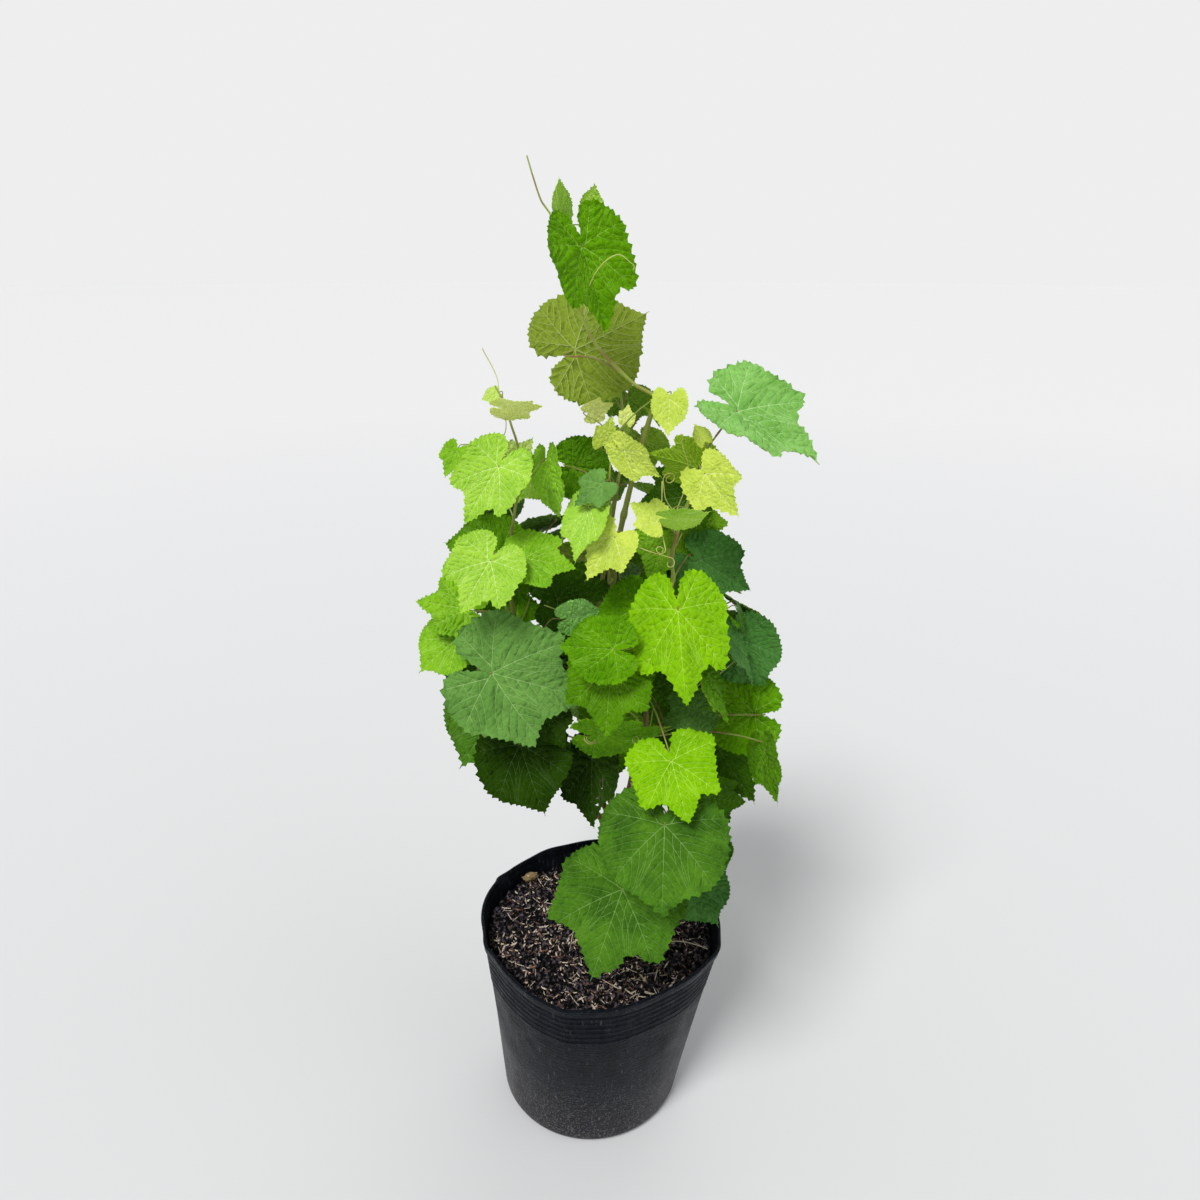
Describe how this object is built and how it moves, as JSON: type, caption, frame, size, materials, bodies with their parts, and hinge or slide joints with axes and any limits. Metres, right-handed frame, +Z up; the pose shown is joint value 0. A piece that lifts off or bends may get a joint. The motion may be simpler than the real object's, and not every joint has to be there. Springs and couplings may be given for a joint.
{
  "type": "potted grapevine",
  "caption": "Young grapevine with a short trunk, climbing canes and lobed leaves on all sides, standing in a soft black nursery pot filled with potting mix.",
  "frame": {"origin": "middle of the flat underside of the pot", "axes": "+Z up along the vine, -Y towards the front of the crown, +X to the right seen from the front"},
  "size_m": [0.3808, 0.409, 1.0298],
  "materials": {
    "pot_plastic": "soft black polythene, matt",
    "potting_mix": "moist dark potting mix with husks",
    "trunk_bark": "brown fibrous bark",
    "cane_bark": "smooth young brown bark",
    "vine_leaf": "green leaf with a soft sheen"
  },
  "bodies": {
    "root": {"pot": "pot_plastic", "soil": "potting_mix", "trunk": "trunk_bark", "cane_left": "cane_bark", "cane_leader": "cane_bark", "cane_right": "cane_bark", "cane_back": "cane_bark", "crown_top": "vine_leaf", "middle_top": "vine_leaf", "right_top": "vine_leaf", "left_upper": "vine_leaf", "left_middle": "vine_leaf", "left_back": "vine_leaf", "left_lower": "vine_leaf", "centre_front": "vine_leaf", "right_middle": "vine_leaf", "low_front": "vine_leaf", "back_top": "vine_leaf", "back_left": "vine_leaf", "back_right": "vine_leaf", "back_low_left": "vine_leaf", "back_low_right": "vine_leaf", "side_left": "vine_leaf", "side_right": "vine_leaf"}
  },
  "joints": []
}
